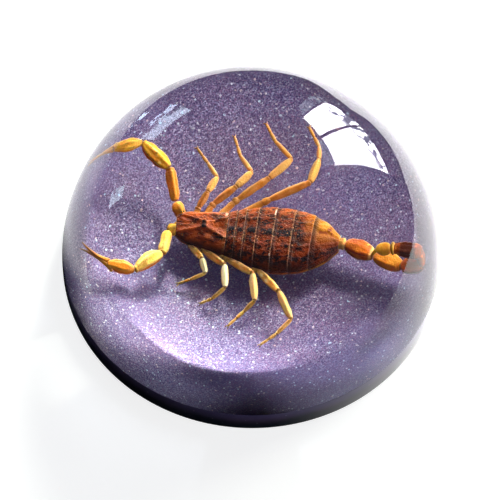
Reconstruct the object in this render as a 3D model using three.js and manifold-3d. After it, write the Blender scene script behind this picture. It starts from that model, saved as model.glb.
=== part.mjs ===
// A dried golden scorpion cast in a clear resin dome, over a layer of purple glitter resin.
// Millimetres, +Z up. The origin is the centre of the flat underside. The scorpion's head points along -X.
import * as THREE from "three";
import { mergeVertices } from "three/addons/utils/BufferGeometryUtils.js";
import Module from "manifold-3d";

const wasm = await Module();
wasm.setup();

// Driving dimensions of the casting
const DOME_RADIUS = 37.5; // a half ball 75 mm across
const GLITTER_DEPTH = 5.6; // the purple layer, poured last
const FOOT_BEVEL = 0.7; // the polished edge of the underside
const SEAM_ABOVE_GLITTER = 3.0; // where the two pours of clear resin meet
const DOME_SIDES = 56;
const ARC_STEP = 3.2; // height of one ring of facets on the dome

// The pocket that the resin leaves round the specimen
const CAST_GAP = 0.34; // clear of the specimen's widest form
const ROOM_SIDES = 4;
const TRUNK_ROOM_SIDES = 12;
const SHORTEST_EDGE = 0.03; // edges left by the joins that are shorter than this are closed up

// Driving dimensions of the scorpion's trunk
// The head shield: half width, and place along it
const CARAPACE = [[1.5, 0], [2.1, 0.5], [2.8, 3.7], [3.5, 7.4]];
const TERGITE_LENGTHS = [1.3, 1.3, 1.9, 2.4, 2.8, 2.8, 3.9]; // the seven back plates, head to tail
const TERGITE_HALF_WIDTHS = [3.9, 4.4, 4.8, 5.1, 5.2, 4.9, 1.8]; // each at its rear edge
const LAST_TERGITE = [[4.0, 0.45], [2.9, 0.8]]; // it rounds in to the tail: half width, and share of its length
const PLATE_STEP = 0.18; // how far a plate's front edge is tucked under the one before
const PLATE_LIP = 0.12; // length of that step
const BACK_SHARE = 0.58; // height of the back over half of the trunk's width
const BELLY_SHARE = 0.4; // depth of the belly over half of the trunk's width
const TRUNK_BOW = 0.75; // how far the trunk bends to the scorpion's left at its middle
const TRUNK_SIDES = 20;
// The widest places of the trunk's room as half width and distance from the head
const TRUNK_ROOM = [
  [1.6, -1], [2.4, 0.5], [3.1, 3.7], [3.8, 7.4], [4.9, 11.5], [5.4, 16], [5.2, 20], [4.4, 22], [2.7, 24.6],
];

// Places on the scorpion are x, y and the height above the glitter layer.
const HEAD = [-11.1, 0.4, 2.9];
const TAIL_ROOT = [12.7, -3.0, 2.9];

// Each leg from its root under the head shield: root, hip, knee, heel, ankle and toe.
const LEG_SIDES = 5;
const LEG_RADII = [0.64, 0.54, 0.68, 0.42, 0.3]; // the thickest place of each of its five segments
const LEGS = [
  [[-8.4, 0.6, 2.2], [-7.6, 2.9, 2.6], [-6.2, 5.1, 3.6], [-4.8, 7.5, 3.2], [-6, 10.2, 1.8], [-7.3, 12.7, 0.9]],
  [[-7.2, 0.5, 2.2], [-5.6, 3.4, 2.8], [-2.2, 5.7, 4], [0, 8.1, 3.6], [-1.6, 11.2, 2], [-2.3, 14.3, 0.9]],
  [[-6, 0.4, 2.2], [-2.3, 3.9, 3], [2.4, 7, 4], [5.5, 10.1, 3.6], [3.1, 13.4, 1.8], [1.9, 16.1, 0.9]],
  [[-4.8, 0.3, 2.2], [2, 3.9, 3], [8.2, 6.4, 4], [9.3, 10.2, 3.4], [9.1, 12.6, 2], [7.6, 15.7, 0.9]],
  [[-8.7, -1, 2.2], [-8.9, -2.9, 2.5], [-7.3, -5.4, 3.2], [-6.8, -7.6, 2.8], [-9, -8, 1.6], [-10.7, -8.3, 0.9]],
  [[-7.7, -1.4, 2.2], [-7.1, -3.7, 2.6], [-4, -6.7, 3.6], [-4, -10.2, 3], [-5.9, -11.3, 1.6], [-7.6, -11.7, 0.9]],
  [[-6.5, -1.8, 2.2], [-3.7, -5.2, 2.8], [0.1, -8.4, 4], [0.4, -12.5, 3], [-1.2, -13.5, 1.6], [-3.6, -15.7, 0.9]],
  [[-5.3, -2.2, 2.2], [0.7, -7, 2.8], [4, -11.5, 4], [6, -15.9, 3], [3.7, -17.7, 1.6], [1.3, -19.3, 0.9]],
];

// Each claw arm: root, shoulder, elbow, wrist, finger root, and the bend and tip of its fixed finger.
const ARM_SIDES = 6;
const ARM_RADII = [1.0, 0.86, 1.12, 1.24, 0.46, 0.34];
const ARMS = [
  [
    [-9.6, 0.9, 2.8], [-10.9, 3.4, 3.6], [-11.7, 8.4, 4.8], [-15.8, 12.7, 5.2],
    [-21.2, 12.7, 4.8], [-24.4, 12.0, 4.4], [-27.3, 11.7, 4.0],
  ],
  [
    [-9.9, -0.2, 2.8], [-12.1, -0.8, 3.2], [-13.2, -4.6, 3.4], [-17.7, -7.3, 3.0],
    [-22.4, -6.0, 2.6], [-25.2, -4.1, 2.4], [-27.0, -2.5, 2.2],
  ],
];
const MOVABLE_FINGERS = [
  [[-20.2, 13.2, 4.8], [-23.8, 13.0, 4.5], [-27.1, 12.3, 4.1]],
  [[-21.8, -6.6, 2.6], [-24.9, -5.3, 2.2], [-27.2, -3.2, 2.0]],
];
const FINGER_RADII = [0.46, 0.34];
const JAWS = [
  [[-9.3, 0.9, 3.1], [-11.8, 0.9, 2.9]],
  [[-9.4, -0.4, 3.1], [-11.9, -0.2, 2.9]],
];
const JAW_RADIUS = 0.62;

// The tail runs back in four segments, turns over at a knuckle, and its fifth segment comes forward again.
// The venom bulb and the sting end it.
const TAIL_SIDES = 8;
const TAIL = [[12.2, -2.9, 3.1], [14.6, -3.4, 3.2], [18.8, -4.8, 2.8], [23.7, -6.6, 3.0], [29.0, -7.1, 4.3]];
const TAIL_RADII = [1.25, 1.7, 1.6, 1.5];
const KNUCKLE = [[28.6, -7.0, 3.9], [28.8, -6.5, 7.4]];
const KNUCKLE_RADIUS = 1.3;
const TAIL_END = [[29.2, -6.5, 7.0], [23.2, -6.0, 7.5], [19.6, -6.0, 7.1], [18.4, -6.3, 5.4]];
const TAIL_END_RADII = [1.4, 1.25, 0.4];

const WAIST = 0.62; // radius at a joint over that of the slighter segment it joins
const SHAPES = [[0.28, 1.0], [0.74, 0.88]]; // share of a segment's length, and of its thickest radius

const UP = new THREE.Vector3(0, 0, 1);
const point = (place) => new THREE.Vector3(...place);

// ---- Solids: three.js makes the shapes, manifold-3d only joins and cuts them ----

function solidOf(geometry) {
  const bare = geometry.clone();
  bare.deleteAttribute("normal");
  bare.deleteAttribute("uv");
  const merged = mergeVertices(bare, 1e-4);
  const corners = merged.index.array;
  const kept = [];
  for (let i = 0; i < corners.length; i += 3) {
    const [a, b, c] = corners.subarray(i, i + 3);
    if (a !== b && b !== c && c !== a) kept.push(a, b, c); // a pole of a lathe gives flat triangles
  }
  return new wasm.Manifold(
    new wasm.Mesh({
      numProp: 3,
      vertProperties: merged.attributes.position.array,
      triVerts: new Uint32Array(kept),
    }),
  );
}

function geometryOf(solid) {
  const mesh = solid.getMesh();
  const geometry = new THREE.BufferGeometry();
  geometry.setAttribute("position", new THREE.BufferAttribute(mesh.vertProperties, 3));
  geometry.setIndex(new THREE.BufferAttribute(mesh.triVerts, 1));
  const flat = geometry.toNonIndexed();
  flat.computeVertexNormals();
  return flat;
}

const joined = (geometries) => geometries.map(solidOf).reduce((whole, piece) => whole.add(piece));

// Closes up slivers, and drops the chips that a cut can leave between two rooms.
function tidied(solid) {
  const bodies = solid.simplify(SHORTEST_EDGE).decompose();
  return bodies.reduce((largest, body) => (body.volume() > largest.volume() ? body : largest));
}

// ---- The casting ----

// A slice of the half ball between two heights, as a lathe whose outline starts and ends on the axis.
function ballSlice(low, high, bevel = 0) {
  const outline = [new THREE.Vector2(0, low)];
  const radiusAt = (height) => Math.sqrt(Math.max(DOME_RADIUS ** 2 - height ** 2, 0));
  if (bevel) outline.push(new THREE.Vector2(radiusAt(low) - bevel, low));
  const start = low + bevel;
  const from = Math.asin(start / DOME_RADIUS);
  const to = Math.asin(high / DOME_RADIUS);
  const steps = Math.max(1, Math.round(((to - from) * DOME_RADIUS) / ARC_STEP));
  for (let i = 0; i <= steps; i++) {
    const angle = from + ((to - from) * i) / steps;
    const onPole = high === DOME_RADIUS && i === steps;
    const height = i === steps ? high : i === 0 ? start : DOME_RADIUS * Math.sin(angle);
    outline.push(new THREE.Vector2(onPole ? 0 : radiusAt(height), height));
  }
  if (high < DOME_RADIUS) outline.push(new THREE.Vector2(0, high));
  return new THREE.LatheGeometry(outline, DOME_SIDES).rotateX(Math.PI / 2);
}

// ---- The scorpion ----

// Bends a lathe drawn up +Y along a path, so that its rings at the joints lie halfway between both stretches.
function layAlong(geometry, path) {
  const joints = path.map(point);
  const ways = joints.slice(1).map((end, i) => end.clone().sub(joints[i]));
  const lengths = ways.map((way) => way.length());
  ways.forEach((way) => way.normalize());
  const side = ways[0].clone().cross(UP).normalize();
  const turns = [new THREE.Quaternion().setFromRotationMatrix(
    new THREE.Matrix4().makeBasis(side, ways[0], side.clone().cross(ways[0])),
  )];
  for (let i = 1; i < ways.length; i++) {
    const turn = new THREE.Quaternion().setFromUnitVectors(ways[i - 1], ways[i]);
    turns.push(turn.multiply(turns[i - 1]));
  }
  const place = geometry.attributes.position;
  for (let v = 0; v < place.count; v++) {
    let along = place.getY(v);
    let i = 0;
    while (i < ways.length - 1 && along > lengths[i] + 1e-6) along -= lengths[i++];
    const offset = new THREE.Vector3(place.getX(v), 0, place.getZ(v)).applyQuaternion(turns[i]);
    if (i < ways.length - 1 && Math.abs(along - lengths[i]) < 1e-4) {
      const halfway = ways[i].clone().add(ways[i + 1]).normalize();
      offset.addScaledVector(ways[i], -offset.dot(halfway) / ways[i].dot(halfway));
    }
    const placed = joints[i].clone().addScaledVector(ways[i], along).add(offset);
    place.setXYZ(v, placed.x, placed.y, placed.z);
  }
  return geometry;
}

const lengthsOf = (path) => path.slice(1).map((end, i) => point(end).distanceTo(point(path[i])));

// A limb is one lathe: thick in the middle of each segment and waisted at its joints.
function limb(path, radii, sides) {
  const outline = [new THREE.Vector2(0, 0), new THREE.Vector2(WAIST * radii[0], 0)];
  let start = 0;
  lengthsOf(path).forEach((length, i) => {
    const next = Math.min(radii[i], radii[i + 1] ?? 0.5 * radii[i]);
    for (const [share, width] of SHAPES) {
      outline.push(new THREE.Vector2(width * radii[i], start + share * length));
    }
    start += length;
    outline.push(new THREE.Vector2(WAIST * next, start));
  });
  outline.push(new THREE.Vector2(0, start));
  return layAlong(new THREE.LatheGeometry(outline, sides), path);
}

// The room for a limb: a square bar along the same path, wider than its thickest segments by the cast gap.
function limbRoom(path, radii) {
  const wide = radii.map((radius) => (radius + CAST_GAP) / Math.cos(Math.PI / ROOM_SIDES));
  const lengths = lengthsOf(path);
  const outline = [new THREE.Vector2(0, -CAST_GAP), new THREE.Vector2(wide[0], -CAST_GAP)];
  let start = 0;
  lengths.forEach((length, i) => {
    start += length;
    if (i < lengths.length - 1) outline.push(new THREE.Vector2(Math.max(wide[i], wide[i + 1]), start));
  });
  outline.push(new THREE.Vector2(wide.at(-1), start + CAST_GAP), new THREE.Vector2(0, start + CAST_GAP));
  return layAlong(new THREE.LatheGeometry(outline, ROOM_SIDES).rotateY(Math.PI / ROOM_SIDES), path);
}

const LIMBS = [
  ...LEGS.map((path) => [path, LEG_RADII, LEG_SIDES]),
  ...ARMS.map((path) => [path, ARM_RADII, ARM_SIDES]),
  ...MOVABLE_FINGERS.map((path) => [path, FINGER_RADII, LEG_SIDES]),
  ...JAWS.map((path) => [path, [JAW_RADIUS], ARM_SIDES]),
  [TAIL, TAIL_RADII, TAIL_SIDES],
  [KNUCKLE, [KNUCKLE_RADIUS], TAIL_SIDES],
  [TAIL_END, TAIL_END_RADII, TAIL_SIDES],
];

// The outline of the trunk from head to tail: the carapace, then seven back plates lapped like shingles.
function trunkOutline() {
  const ring = (halfWidth, along) => new THREE.Vector2(halfWidth, along);
  const outline = [ring(0, 0), ...CARAPACE.map((place) => ring(...place))];
  let [halfWidth, along] = CARAPACE.at(-1);
  TERGITE_LENGTHS.forEach((length, i) => {
    outline.push(ring(halfWidth - PLATE_STEP, along + PLATE_LIP));
    if (i === TERGITE_LENGTHS.length - 1) {
      for (const [width, share] of LAST_TERGITE) outline.push(ring(width, along + share * length));
    }
    halfWidth = TERGITE_HALF_WIDTHS[i];
    along += length;
    outline.push(ring(halfWidth, along));
  });
  outline.push(ring(0, along));
  return outline;
}

// The room for the trunk: its widest places, grown until the flats of the room clear the belly.
function trunkRoomOutline() {
  const grown = (halfWidth) => (halfWidth + CAST_GAP / BELLY_SHARE) / Math.cos(Math.PI / TRUNK_ROOM_SIDES);
  const rings = TRUNK_ROOM.map(([halfWidth, along]) => new THREE.Vector2(grown(halfWidth), along));
  return [new THREE.Vector2(0, rings[0].y), ...rings, new THREE.Vector2(0, rings.at(-1).y)];
}

// The trunk is broad and low: arched on the back, flatter on the belly, and bowed a little to the left.
function trunk(outline, sides) {
  const [start, end] = [point(HEAD), point(TAIL_ROOT)];
  const length = start.distanceTo(end);
  const body = new THREE.LatheGeometry(outline, sides);
  const place = body.attributes.position;
  for (let i = 0; i < place.count; i++) {
    const height = place.getZ(i);
    const share = THREE.MathUtils.clamp(place.getY(i) / length, 0, 1);
    place.setX(i, place.getX(i) + 4 * TRUNK_BOW * share * (1 - share));
    place.setZ(i, height * (height > 0 ? BACK_SHARE : BELLY_SHARE));
  }
  return layAlong(body, [HEAD, TAIL_ROOT]);
}

const scorpionSolid = tidied(
  joined([trunk(trunkOutline(), TRUNK_SIDES), ...LIMBS.map((described) => limb(...described))]),
);

const pocketSolid = joined([
  trunk(trunkRoomOutline(), TRUNK_ROOM_SIDES),
  ...LIMBS.map(([path, radii]) => limbRoom(path, radii)),
]).translate([0, 0, GLITTER_DEPTH]);

// ---- Materials and the finished group ----

const clearResin = () =>
  new THREE.MeshStandardMaterial({
    color: 0xf2f4f6,
    roughness: 0.04,
    metalness: 0,
    transparent: true,
    opacity: 0.25,
  });
const glitterResin = new THREE.MeshStandardMaterial({ color: 0x5d4a86, roughness: 0.3, metalness: 0.35 });
const driedShell = new THREE.MeshStandardMaterial({ color: 0xd9861e, roughness: 0.45, metalness: 0 });

function part(name, geometry, material) {
  const mesh = new THREE.Mesh(geometry, material);
  mesh.name = name;
  return mesh;
}

const seam = GLITTER_DEPTH + SEAM_ABOVE_GLITTER;
const clearHalf = (low, high) => geometryOf(tidied(solidOf(ballSlice(low, high)).subtract(pocketSolid)));

const specimen = part("scorpion", geometryOf(scorpionSolid), driedShell);
specimen.position.z = GLITTER_DEPTH;

const paperweight = new THREE.Group();
paperweight.add(
  part("glitter_base", ballSlice(0, GLITTER_DEPTH, FOOT_BEVEL), glitterResin),
  part("clear_bed", clearHalf(GLITTER_DEPTH, seam), clearResin()),
  part("clear_dome", clearHalf(seam, DOME_RADIUS), clearResin()),
  specimen,
);

export default paperweight;
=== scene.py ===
"""A dried golden scorpion cast in a clear resin dome, over a layer of purple glitter resin."""
import math

import bpy
import numpy as np
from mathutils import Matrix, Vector


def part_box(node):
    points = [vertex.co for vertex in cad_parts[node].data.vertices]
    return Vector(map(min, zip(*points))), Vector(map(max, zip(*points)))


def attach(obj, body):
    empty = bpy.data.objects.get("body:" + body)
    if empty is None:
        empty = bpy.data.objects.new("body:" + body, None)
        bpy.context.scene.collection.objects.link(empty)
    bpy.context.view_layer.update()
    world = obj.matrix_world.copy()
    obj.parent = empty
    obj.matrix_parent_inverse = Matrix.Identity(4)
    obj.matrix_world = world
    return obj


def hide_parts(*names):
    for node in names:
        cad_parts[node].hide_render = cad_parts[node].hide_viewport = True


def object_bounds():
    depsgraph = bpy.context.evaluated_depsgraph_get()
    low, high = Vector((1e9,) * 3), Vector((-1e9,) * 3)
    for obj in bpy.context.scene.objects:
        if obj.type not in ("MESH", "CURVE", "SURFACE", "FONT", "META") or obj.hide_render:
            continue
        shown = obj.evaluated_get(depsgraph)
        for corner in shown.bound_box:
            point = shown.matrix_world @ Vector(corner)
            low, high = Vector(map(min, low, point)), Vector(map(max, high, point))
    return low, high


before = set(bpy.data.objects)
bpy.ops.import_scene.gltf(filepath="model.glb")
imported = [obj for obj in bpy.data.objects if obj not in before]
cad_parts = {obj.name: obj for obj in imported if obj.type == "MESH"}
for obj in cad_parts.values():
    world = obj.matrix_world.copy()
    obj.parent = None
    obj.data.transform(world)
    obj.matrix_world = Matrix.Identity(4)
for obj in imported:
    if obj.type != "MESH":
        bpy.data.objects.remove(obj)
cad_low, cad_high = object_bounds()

MM = 0.001

# ---- Driving dimensions, in millimetres ----

GLITTER_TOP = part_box("glitter_base")[1][2] / MM
DOME_RADIUS = cad_high[2] / MM
FOOT_BEVEL = 0.7
SEAM_OVERLAP = 0.15  # the clear resin reaches this far into the glitter layer
ROUND_SIDES = 224

# Places on the scorpion are x, y and the height above the glitter layer.
HEAD = (-10.9, 0.1, 2.9)
TAIL_ROOT = (12.7, -3.0, 2.9)
TRUNK_BOW = 0.75
CARAPACE_LENGTH = 7.4
TERGITE_LENGTHS = (1.2, 1.3, 1.8, 2.5, 2.75, 2.9, 3.95)

# Trunk sections from head to tail: place along it, half width, height of the back, depth of the belly
TRUNK = (
    (0.0, 1.55, 1.25, 0.9),
    (0.8, 2.1, 1.6, 1.15),
    (3.7, 2.75, 2.25, 1.35),
    (7.4, 3.45, 2.5, 1.5),
    (10.0, 4.3, 2.62, 1.7),
    (13.0, 5.0, 2.8, 1.95),
    (16.5, 5.0, 2.85, 2.0),
    (19.9, 4.15, 2.6, 1.9),
    (22.0, 2.95, 2.15, 1.5),
    (23.8, 1.15, 1.15, 0.95),
)

# Each leg: how stout it is, then root, hip, knee, heel, ankle and toe. Right side first, front to rear.
LEGS = (
    (0.92, (-8.4, 0.6, 2.2), (-7.6, 2.9, 2.6), (-6.2, 5.1, 3.6),
     (-4.8, 7.5, 3.2), (-6.0, 10.2, 1.8), (-7.3, 12.7, 0.9)),
    (1.0, (-7.2, 0.5, 2.2), (-5.6, 3.4, 2.8), (-2.2, 5.7, 4.0),
     (0.0, 8.1, 3.6), (-1.6, 11.2, 2.0), (-2.3, 14.3, 0.9)),
    (1.04, (-6.0, 0.4, 2.2), (-2.3, 3.9, 3.0), (2.4, 7.0, 4.0),
     (5.5, 10.1, 3.6), (3.1, 13.4, 1.8), (1.9, 16.1, 0.9)),
    (1.06, (-4.8, 0.3, 2.2), (2.0, 3.9, 3.0), (8.2, 6.4, 4.0),
     (9.3, 10.2, 3.4), (9.1, 12.6, 2.0), (7.6, 15.7, 0.9)),
    (0.92, (-8.7, -1.0, 2.2), (-8.9, -2.9, 2.5), (-7.3, -5.4, 3.2),
     (-6.8, -7.6, 2.8), (-9.0, -8.0, 1.6), (-10.7, -8.3, 0.9)),
    (1.0, (-7.7, -1.4, 2.2), (-7.1, -3.7, 2.6), (-4.0, -6.7, 3.6),
     (-4.0, -10.2, 3.0), (-5.9, -11.3, 1.6), (-7.6, -11.7, 0.9)),
    (1.04, (-6.5, -1.8, 2.2), (-3.7, -5.2, 2.8), (0.1, -8.4, 4.0),
     (0.4, -12.5, 3.0), (-1.2, -13.5, 1.6), (-3.6, -15.7, 0.9)),
    (1.06, (-5.3, -2.2, 2.2), (0.7, -7.0, 2.8), (4.0, -11.5, 4.0),
     (6.0, -15.9, 3.0), (3.7, -17.7, 1.6), (1.3, -19.3, 0.9)),
)
RIGHT_ARM = {
    "joints": (
        (-9.6, 0.9, 2.8), (-10.9, 3.4, 3.6), (-11.7, 8.4, 4.8), (-15.8, 12.7, 5.2), (-21.2, 12.7, 4.8),
    ),
    "fixed": ((-20.9, 12.35, 4.9), (-27.4, 11.5, 4.0)),
    "movable": ((-20.3, 13.3, 4.7), (-27.2, 12.4, 4.1)),
    "spread": 0.35,
}
LEFT_ARM = {
    "joints": (
        (-9.9, -0.2, 2.8), (-12.1, -0.8, 3.2), (-13.2, -4.6, 3.4), (-17.7, -7.3, 3.0), (-22.4, -6.0, 2.6),
    ),
    "fixed": ((-22.0, -5.65, 2.75), (-27.2, -1.9, 2.2)),
    "movable": ((-21.6, -7.0, 2.5), (-27.9, -3.0, 2.0)),
    "spread": -0.5,
}
TAIL = ((12.0, -2.8, 3.1), (13.7, -3.05, 3.2), (18.3, -4.7, 2.9), (23.5, -6.7, 2.9), (29.2, -7.2, 4.2))
TAIL_FOLD = ((28.9, -7.1, 4.2), (29.2, -6.5, 7.0))
TAIL_LAST = ((29.7, -6.4, 7.0), (22.9, -6.0, 7.5))
BULB_COLLAR = ((23.1, -6.0, 7.5), (22.3, -6.0, 7.5))
VENOM_BULB = ((22.3, -6.0, 7.5), (19.4, -6.1, 7.25))
STING_TIP = (18.4, -6.8, 5.3)

# ---- Small tools for node trees ----


def fill(tree, made, inputs):
    """Sets a node's inputs, by name or number, to values or links. Colours are given without their alpha."""
    for name, value in inputs.items():
        socket = made.inputs[name]
        if isinstance(value, bpy.types.NodeSocket):
            tree.links.new(value, socket)
        elif socket.type == "RGBA":
            socket.default_value = (*value, 1)
        else:
            socket.default_value = value


def add_node(tree, kind, inputs=None, **settings):
    """One node, with its settings and its inputs."""
    made = tree.nodes.new(kind)
    for name, value in settings.items():
        setattr(made, name, value)
    fill(tree, made, inputs or {})
    return made


def calculate(tree, operation, *values, clamp=False):
    inputs = dict(enumerate(values))
    return add_node(tree, "ShaderNodeMath", inputs, operation=operation, use_clamp=clamp).outputs[0]


def times(tree, *factors):
    """All the factors multiplied."""
    product = factors[0]
    for factor in factors[1:]:
        product = calculate(tree, "MULTIPLY", product, factor)
    return product


def of_vectors(tree, operation, inputs, output="Vector"):
    return add_node(tree, "ShaderNodeVectorMath", inputs, operation=operation).outputs[output]


def blended(tree, share, first, second):
    return add_node(tree, "ShaderNodeMix", {0: share, 6: first, 7: second}, data_type="RGBA").outputs[2]


def over(tree, below, colour, *shares):
    """A colour laid over what is below it, by its shares multiplied."""
    return blended(tree, times(tree, *shares), below, colour)


def between(tree, value, low, high):
    """0 at low, 1 at high, and smooth between them."""
    span = {"Value": value, "From Min": low, "From Max": high}
    return add_node(tree, "ShaderNodeMapRange", span, interpolation_type="SMOOTHSTEP").outputs["Result"]


def near(tree, value, middle, low, high):
    """The same for how far the value lies from the middle."""
    away = calculate(tree, "ABSOLUTE", calculate(tree, "SUBTRACT", value, middle))
    return between(tree, away, low, high)


def place_on_piece(tree):
    """Where each point lies on its piece, in metres."""
    return add_node(tree, "ShaderNodeTexCoord").outputs["Object"]


def part_of(tree, place, axis):
    return add_node(tree, "ShaderNodeSeparateXYZ", {0: place}).outputs[axis]


def noise(tree, place, scale, detail=2.0, **more):
    """Soft random values, scale of them to the metre."""
    inputs = {"Scale": scale, "Detail": detail, **more}
    if place is not None:
        inputs["Vector"] = place
    return add_node(tree, "ShaderNodeTexNoise", inputs).outputs["Fac"]


def cells(tree, place, scale):
    return add_node(tree, "ShaderNodeTexVoronoi", {"Vector": place, "Scale": scale}, feature="F1").outputs


def new_group(name, inputs, outputs):
    """A shader node group, with each socket's kind: its tree, what it is given and what it puts out."""
    tree = bpy.data.node_groups.new(name, "ShaderNodeTree")
    for way, sockets in (("INPUT", inputs), ("OUTPUT", outputs)):
        for label, kind in sockets.items():
            tree.interface.new_socket(name=label, in_out=way, socket_type="NodeSocket" + kind)
    return tree, tree.nodes.new("NodeGroupInput").outputs, tree.nodes.new("NodeGroupOutput").inputs


def use_group(tree, group, inputs):
    return add_node(tree, "ShaderNodeGroup", inputs, node_tree=group).outputs


def new_material(name):
    """A material with a Principled BSDF on its output, its tree and its shader."""
    material = bpy.data.materials.new(name)
    material.use_nodes = True
    tree = material.node_tree
    return material, tree, tree.nodes["Principled BSDF"]


def new_glow(name):
    """A material that only gives light, its tree and its glow."""
    material, tree, _ = new_material(name)
    tree.nodes.clear()
    glow = tree.nodes.new("ShaderNodeEmission")
    add_node(tree, "ShaderNodeOutputMaterial", {"Surface": glow.outputs["Emission"]})
    return material, tree, glow


# ---- Effects that more than one material uses ----


def make_glitter_flakes():
    """Fine flakes: the colour of each, how it is tilted, and the rare ones that flash."""
    tree, given, out = new_group(
        "glitter_flakes",
        {
            "Flake Size": "Float", "Ground": "Color", "Contrast": "Float", "Flash Share": "Float",
            "Tilt": "Float",
        },
        {"Color": "Color", "Normal": "Vector", "Flash": "Float"},
    )
    place = place_on_piece(tree)
    flakes_to_the_metre = calculate(tree, "DIVIDE", 1 / MM, given["Flake Size"])
    fine = cells(tree, place, flakes_to_the_metre)["Color"]
    coarse = cells(tree, place, times(tree, flakes_to_the_metre, 0.62))["Color"]
    chance = add_node(tree, "ShaderNodeSeparateColor", {"Color": fine}).outputs
    rare = add_node(tree, "ShaderNodeSeparateColor", {"Color": coarse}).outputs
    hues = add_node(tree, "ShaderNodeValToRGB", {"Fac": chance["Red"]})
    stops = hues.color_ramp.elements
    stops[0].position, stops[0].color = 0.0, (0.03, 0.04, 0.13, 1)
    stops[1].position, stops[1].color = 1.0, (0.5, 0.48, 0.54, 1)
    for position, colour in (
        (0.2, (0.08, 0.046, 0.15, 1)),
        (0.45, (0.13, 0.095, 0.2, 1)),
        (0.62, (0.27, 0.095, 0.19, 1)),
        (0.76, (0.13, 0.19, 0.33, 1)),
        (0.9, (0.33, 0.28, 0.4, 1)),
    ):
        stops.new(position).color = colour
    drift = between(tree, noise(tree, place, 90.0, 3.0), 0.4, 0.66)
    pinker = blended(tree, drift, given["Ground"], (0.2, 0.095, 0.18))
    ground = blended(tree, 0.35, given["Ground"], pinker)
    body = blended(tree, given["Contrast"], ground, hues.outputs["Color"])
    flash = calculate(tree, "LESS_THAN", rare["Blue"], given["Flash Share"])
    tint = blended(tree, rare["Green"], (0.6, 0.38, 0.44), (0.42, 0.56, 0.74))
    spread = of_vectors(tree, "SUBTRACT", {0: fine, 1: (0.5, 0.5, 0.5)})
    tilt = of_vectors(tree, "SCALE", {0: spread, "Scale": given["Tilt"]})
    straight = add_node(tree, "ShaderNodeNewGeometry").outputs["Normal"]
    leaning = of_vectors(tree, "ADD", {0: straight, 1: tilt})
    tree.links.new(blended(tree, flash, body, tint), out["Color"])
    tree.links.new(of_vectors(tree, "NORMALIZE", {0: leaning}), out["Normal"])
    tree.links.new(flash, out["Flash"])
    return tree


def make_shell_mottle():
    """Dried shell: streaks along each plate in two colours, painted highlights on the crests, painted shade
    in the hollows, and the relief.
    """
    tree, given, out = new_group(
        "shell_mottle",
        {
            "Light": "Color", "Dark": "Color", "Crest Highlight": "Color", "Around": "Float", "Along": "Float",
            "Streaks Around": "Float", "Streaks Along": "Float", "Balance": "Float",
        },
        {"Color": "Color", "Height": "Float"},
    )
    place = place_on_piece(tree)
    turn = times(tree, given["Around"], 2 * math.pi)
    reach = calculate(tree, "DIVIDE", given["Streaks Around"], 2 * math.pi)
    ring = add_node(
        tree, "ShaderNodeCombineXYZ",
        {
            0: times(tree, calculate(tree, "COSINE", turn), reach),
            1: times(tree, calculate(tree, "SINE", turn), reach),
            2: times(tree, given["Along"], given["Streaks Along"]),
        },
    ).outputs["Vector"]
    streak = noise(tree, ring, 1.0, 3.0, Roughness=0.6, Distortion=0.4)
    blotch = noise(tree, place, 620.0, 4.0, Roughness=0.6)
    both = calculate(tree, "MULTIPLY_ADD", streak, 0.6, times(tree, blotch, 0.4))
    low = calculate(tree, "SUBTRACT", given["Balance"], 0.09)
    high = calculate(tree, "ADD", given["Balance"], 0.09)
    colour = blended(tree, between(tree, both, low, high), given["Dark"], given["Light"])
    bend = add_node(tree, "ShaderNodeNewGeometry").outputs["Pointiness"]
    # Painted highlight: crests are lightened by how pointed the surface is.
    crest_highlighted = over(tree, colour, given["Crest Highlight"], between(tree, bend, 0.515, 0.6), 0.8)
    # Painted shade: hollows are darkened where the surface is least pointed.
    hollow = times(tree, between(tree, bend, 0.49, 0.42), 0.9)
    out_of_hollow_shade = calculate(tree, "SUBTRACT", 1.0, hollow)
    grain = cells(tree, place, 4200.0)["Distance"]
    tree.links.new(of_vectors(tree, "SCALE", {0: crest_highlighted, "Scale": out_of_hollow_shade}), out["Color"])
    tree.links.new(calculate(tree, "MULTIPLY_ADD", grain, -0.5, both), out["Height"])
    return tree


# ---- Resins ----


def make_clear_resin():
    """Polished water-clear resin."""
    material, tree, shader = new_material("clear_resin")
    fill(tree, shader, {"Base Color": (1, 1, 1), "Roughness": 0.0, "IOR": 1.5, "Transmission Weight": 1.0})
    return material


def make_glitter_inside(flakes):
    """The top of the glitter layer, seen through the clear resin."""
    material, tree, shader = new_material("purple_glitter_inside")
    glitter = use_group(
        tree, flakes,
        {
            "Flake Size": 0.15, "Ground": (0.118, 0.069, 0.226), "Contrast": 0.4, "Flash Share": 0.014,
            "Tilt": 0.42,
        },
    )
    fill(
        tree, shader,
        {
            "Base Color": glitter["Color"],
            "Normal": glitter["Normal"],
            "Metallic": calculate(tree, "MULTIPLY_ADD", glitter["Flash"], 0.5, 0.08),
            "Roughness": 0.5,
            "Specular IOR Level": 0.4,
        },
    )
    return material


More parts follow.
